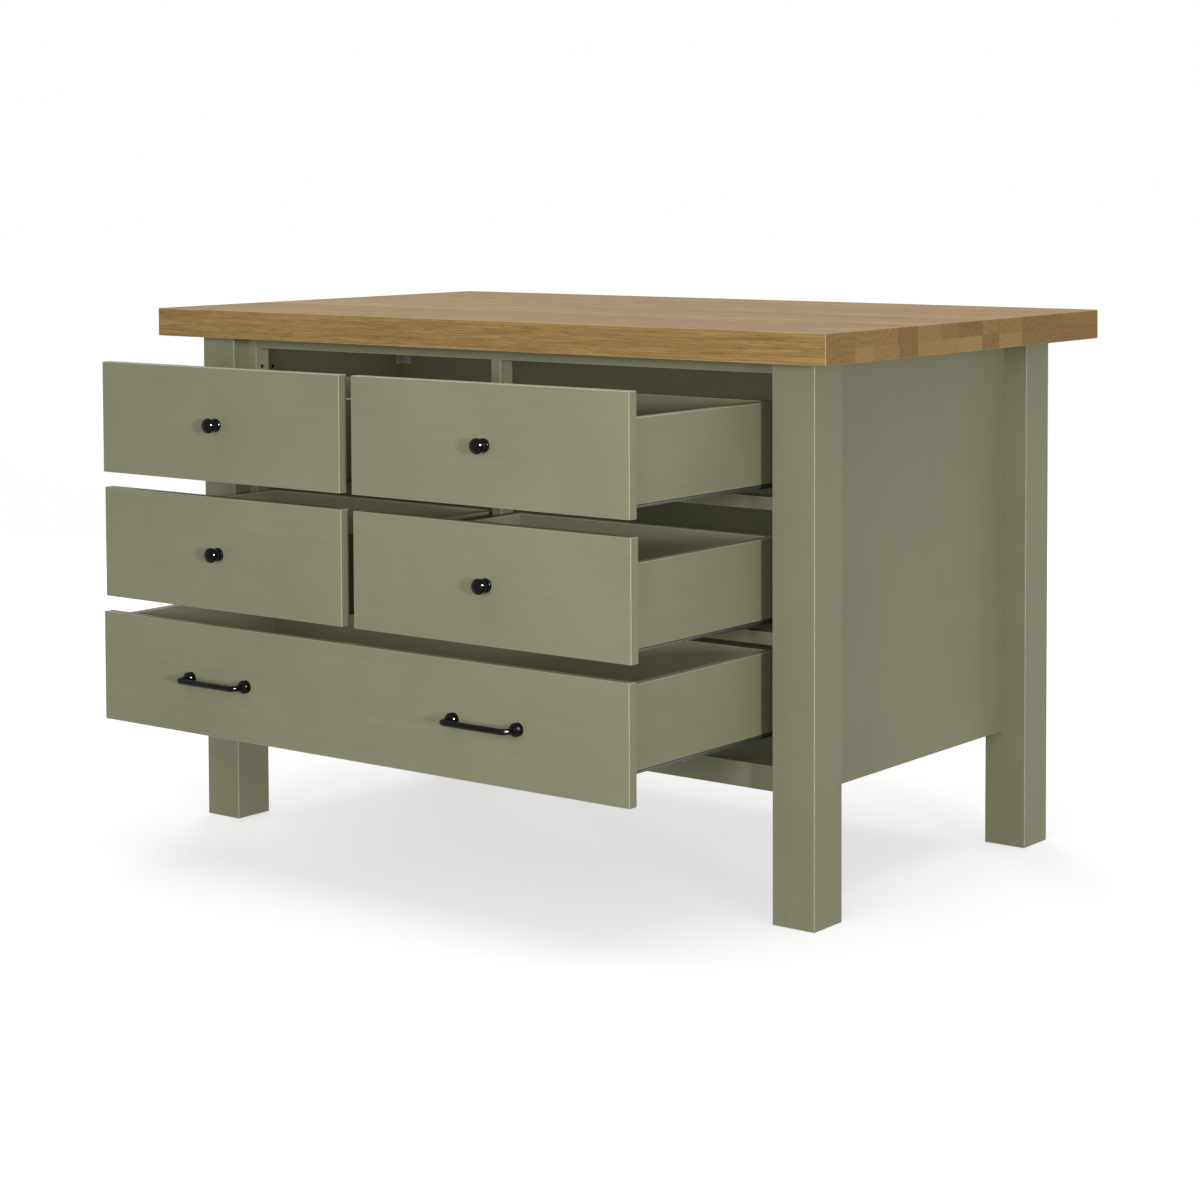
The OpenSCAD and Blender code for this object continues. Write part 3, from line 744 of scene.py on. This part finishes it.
def floor():
    low, high = -FLOOR_REACH, FLOOR_REACH
    made = plane("floor", [(low, low, 0), (high, low, 0), (high, high, 0), (low, high, 0)])
    surface = bpy.data.materials.new("pale_floor")
    surface.use_nodes = True
    tree = Tree(surface.node_tree)
    tree.nodes.clear()
    seen = seen_rays(tree)
    shown = tree.node("ShaderNodeBsdfDiffuse", {"Color": (FLOOR_WHITE, FLOOR_WHITE, FLOOR_WHITE, 1.0)})
    glow = tree.node("ShaderNodeEmission", {"Color": (1.0, 1.0, 1.0, 1.0), "Strength": FLOOR_GLOW})
    bright = tree.node("ShaderNodeAddShader")
    tree.links.new(shown.outputs[0], bright.inputs[0])
    tree.links.new(glow.outputs[0], bright.inputs[1])
    lit = tree.node("ShaderNodeBsdfDiffuse", {"Color": (FLOOR_BOUNCE, FLOOR_BOUNCE, FLOOR_BOUNCE, 1.0)})
    both = tree.node("ShaderNodeMixShader")
    tree.links.new(seen, both.inputs[0])
    tree.links.new(lit.outputs[0], both.inputs[1])
    tree.links.new(bright.outputs[0], both.inputs[2])
    out = tree.node("ShaderNodeOutputMaterial")
    tree.links.new(both.outputs[0], out.inputs["Surface"])
    dress(made, surface)


floor()

world = bpy.data.worlds.new("studio")
bpy.context.scene.world = world
world.use_nodes = True
sky = Tree(world.node_tree)
sky.nodes.clear()
level = sky.remap(seen_rays(sky), 0.0, 1.0, AMBIENT, 1.0)
backdrop = sky.node("ShaderNodeBackground", {"Color": (1.0, 1.0, 1.0, 1.0), "Strength": level})
sky_out = sky.node("ShaderNodeOutputWorld")
sky.links.new(backdrop.outputs[0], sky_out.inputs["Surface"])


# ---------------------------------------------------------------- lights
# The point that the softboxes and the glints face
AIM = Vector((0.0, -0.15, 0.60))
GLINT_DISTANCE = 4.0
GLINT_WIDTH = 0.25
GLINT_HEIGHT = 0.35
GLINT_POWER = 2800.0
# How far a drawer's fill hangs above the drawer's back
FILL_ABOVE = 0.022


def collect(name, members):
    """A collection of nodes, for the light linking of a lamp."""
    made = bpy.data.collections.new(name)
    for member in members:
        made.objects.link(NODES[member])
    return made


def way_to(bearing, elevation):
    """The direction of a light: bearing in degrees from the front towards the right end."""
    turn, rise = math.radians(bearing), math.radians(elevation)
    return Vector((math.sin(turn) * math.cos(rise), -math.cos(turn) * math.cos(rise), math.sin(rise)))


def face_from(made, way):
    """Turns a lamp so that it shines from a direction."""
    made.rotation_euler = (-way).to_track_quat("-Z", "Y").to_euler()


def panel_lamp(name, width, height, power):
    """A rectangle of light, hidden from the camera and from mirrored rays."""
    lamp = bpy.data.lights.new(name, "AREA")
    lamp.shape = "RECTANGLE"
    lamp.size = width
    lamp.size_y = height
    lamp.energy = power
    made = put(name, lamp)
    made.visible_camera = False
    made.visible_glossy = False
    return made


def softbox(name, bearing, elevation, distance, width, height, power):
    """A soft light that faces the unit."""
    way = way_to(bearing, elevation)
    made = panel_lamp(name, width, height, power)
    made.location = AIM + way * distance
    face_from(made, way)
    return made


def glint(name, bearing, elevation):
    """A small lamp for the pulls alone: it puts the bright spots on the gloss of the knobs and handles."""
    made = softbox(name, bearing, elevation, GLINT_DISTANCE, GLINT_WIDTH, GLINT_HEIGHT, GLINT_POWER)
    made.visible_diffuse = False
    made.visible_glossy = True
    made.light_linking.receiver_collection = PULLS


def distant(name, bearing, elevation, spread, strength, receivers):
    """A far soft light, the same all over the floor: its spread is the angle that it fills."""
    lamp = bpy.data.lights.new(name, "SUN")
    lamp.angle = math.radians(spread)
    lamp.energy = strength
    made = put(name, lamp)
    face_from(made, way_to(bearing, elevation))
    made.visible_glossy = False
    made.light_linking.receiver_collection = receivers


def fill(name, centre, width, depth, power, receivers=None):
    """A weak light that faces down, in place of what a lit room throws into the cabinet and its drawers."""
    made = panel_lamp(name, width, depth, power)
    made.location = centre
    made.light_linking.receiver_collection = receivers


def drawer_fill(drawer, power):
    """A fill over one open drawer's box, for that box alone, so that it never lights the rest."""
    parts = ("left_side", "right_side", "back", "base")
    box = collect(f"{drawer}_box", [f"{drawer}_{part}" for part in parts])
    low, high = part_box(f"{drawer}_base")
    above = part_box(f"{drawer}_back")[1].z + FILL_ABOVE
    middle = (low + high) / 2
    fill(f"{drawer}_fill", (middle.x, middle.y, above), high.x - low.x, high.y - low.y, power, box)


PULLS = collect("pulls", PULL_NAMES)
# The low suns leave out the boards whose inner faces are evenly dark in the photo
LEFT_OUT = collect("outside", ("left_side_panel", "inner_back"))
for entry in LEFT_OUT.collection_objects:
    entry.light_linking.link_state = "EXCLUDE"

# Bearing, elevation and spread in degrees, strength, and the collection for light linking, if any
SUNS = (
    ("key", 62.0, 5.0, 6.0, 1.48, LEFT_OUT),
    ("front", 12.0, 6.0, 12.0, 0.72, LEFT_OUT),
    ("zenith", 0.0, 90.0, 60.0, 1.60, None),
)
# Bearing and elevation in degrees, distance, width and height in metres, and power in watts
SOFTBOXES = (
    ("near_front", 15.0, 9.0, 2.2, 0.8, 0.4, 6.8),
    ("near_right", 42.0, 10.0, 1.9, 0.5, 0.3, 3.0),
    ("far_right", 80.0, 5.0, 4.0, 1.6, 0.8, 5.0),
    ("far_rear", -140.0, 8.0, 4.0, 1.6, 0.8, 60.0),
)
# Bearing and elevation in degrees
GLINTS = (("glint_front", 62.0, 16.0), ("glint_side", 84.0, 18.0))
# Centre, width and depth in metres, and power in watts
FILLS = (
    ("upper_row_fill", (-0.05, -0.10, 0.876), 1.08, 0.36, 0.50),
    ("middle_row_fill", (0.0, -0.10, 0.655), 1.05, 0.36, 0.14),
    ("floor_panel_fill", (0.0, -0.10, 0.275), 1.05, 0.36, 0.12),
)
# Power in watts
DRAWER_FILLS = (("lower", 0.45), ("middle_left", 0.12), ("middle_right", 0.12))

LAMPS = ((distant, SUNS), (softbox, SOFTBOXES), (glint, GLINTS), (fill, FILLS), (drawer_fill, DRAWER_FILLS))

for make, rows in LAMPS:
    for row in rows:
        make(*row)


# ---------------------------------------------------------------- camera
# Fitted to the edges and corners of the unit in the photo, in millimetres, shares of the frame's width,
# degrees and metres
SENSOR_WIDTH = 36.0
FOCAL_LENGTH = 81.461
FRAME_SHIFT = -0.23316
YAW_PITCH_ROLL = (37.7229, 3.0098, 0.2149)
CAMERA_PLACE = (2.92864, -3.83278, 1.16362)


def camera():
    lens = bpy.data.cameras.new("camera")
    lens.sensor_fit = "HORIZONTAL"
    lens.sensor_width = SENSOR_WIDTH
    lens.lens = FOCAL_LENGTH
    lens.shift_y = FRAME_SHIFT
    made = put("camera", lens)
    yaw, pitch, roll = (math.radians(a) for a in YAW_PITCH_ROLL)
    ahead = Vector((-math.sin(yaw) * math.cos(pitch), math.cos(yaw) * math.cos(pitch), -math.sin(pitch)))
    right = ahead.cross(Vector((0.0, 0.0, 1.0))).normalized()
    down = ahead.cross(right)
    level_right = right * math.cos(roll) + down * math.sin(roll)
    level_down = down * math.cos(roll) - right * math.sin(roll)
    turned = Matrix((level_right, -level_down, -ahead)).transposed().to_4x4()
    made.matrix_world = Matrix.Translation(CAMERA_PLACE) @ turned
    bpy.context.scene.camera = made


camera()

view = bpy.context.scene.view_settings
view.view_transform = "Standard"
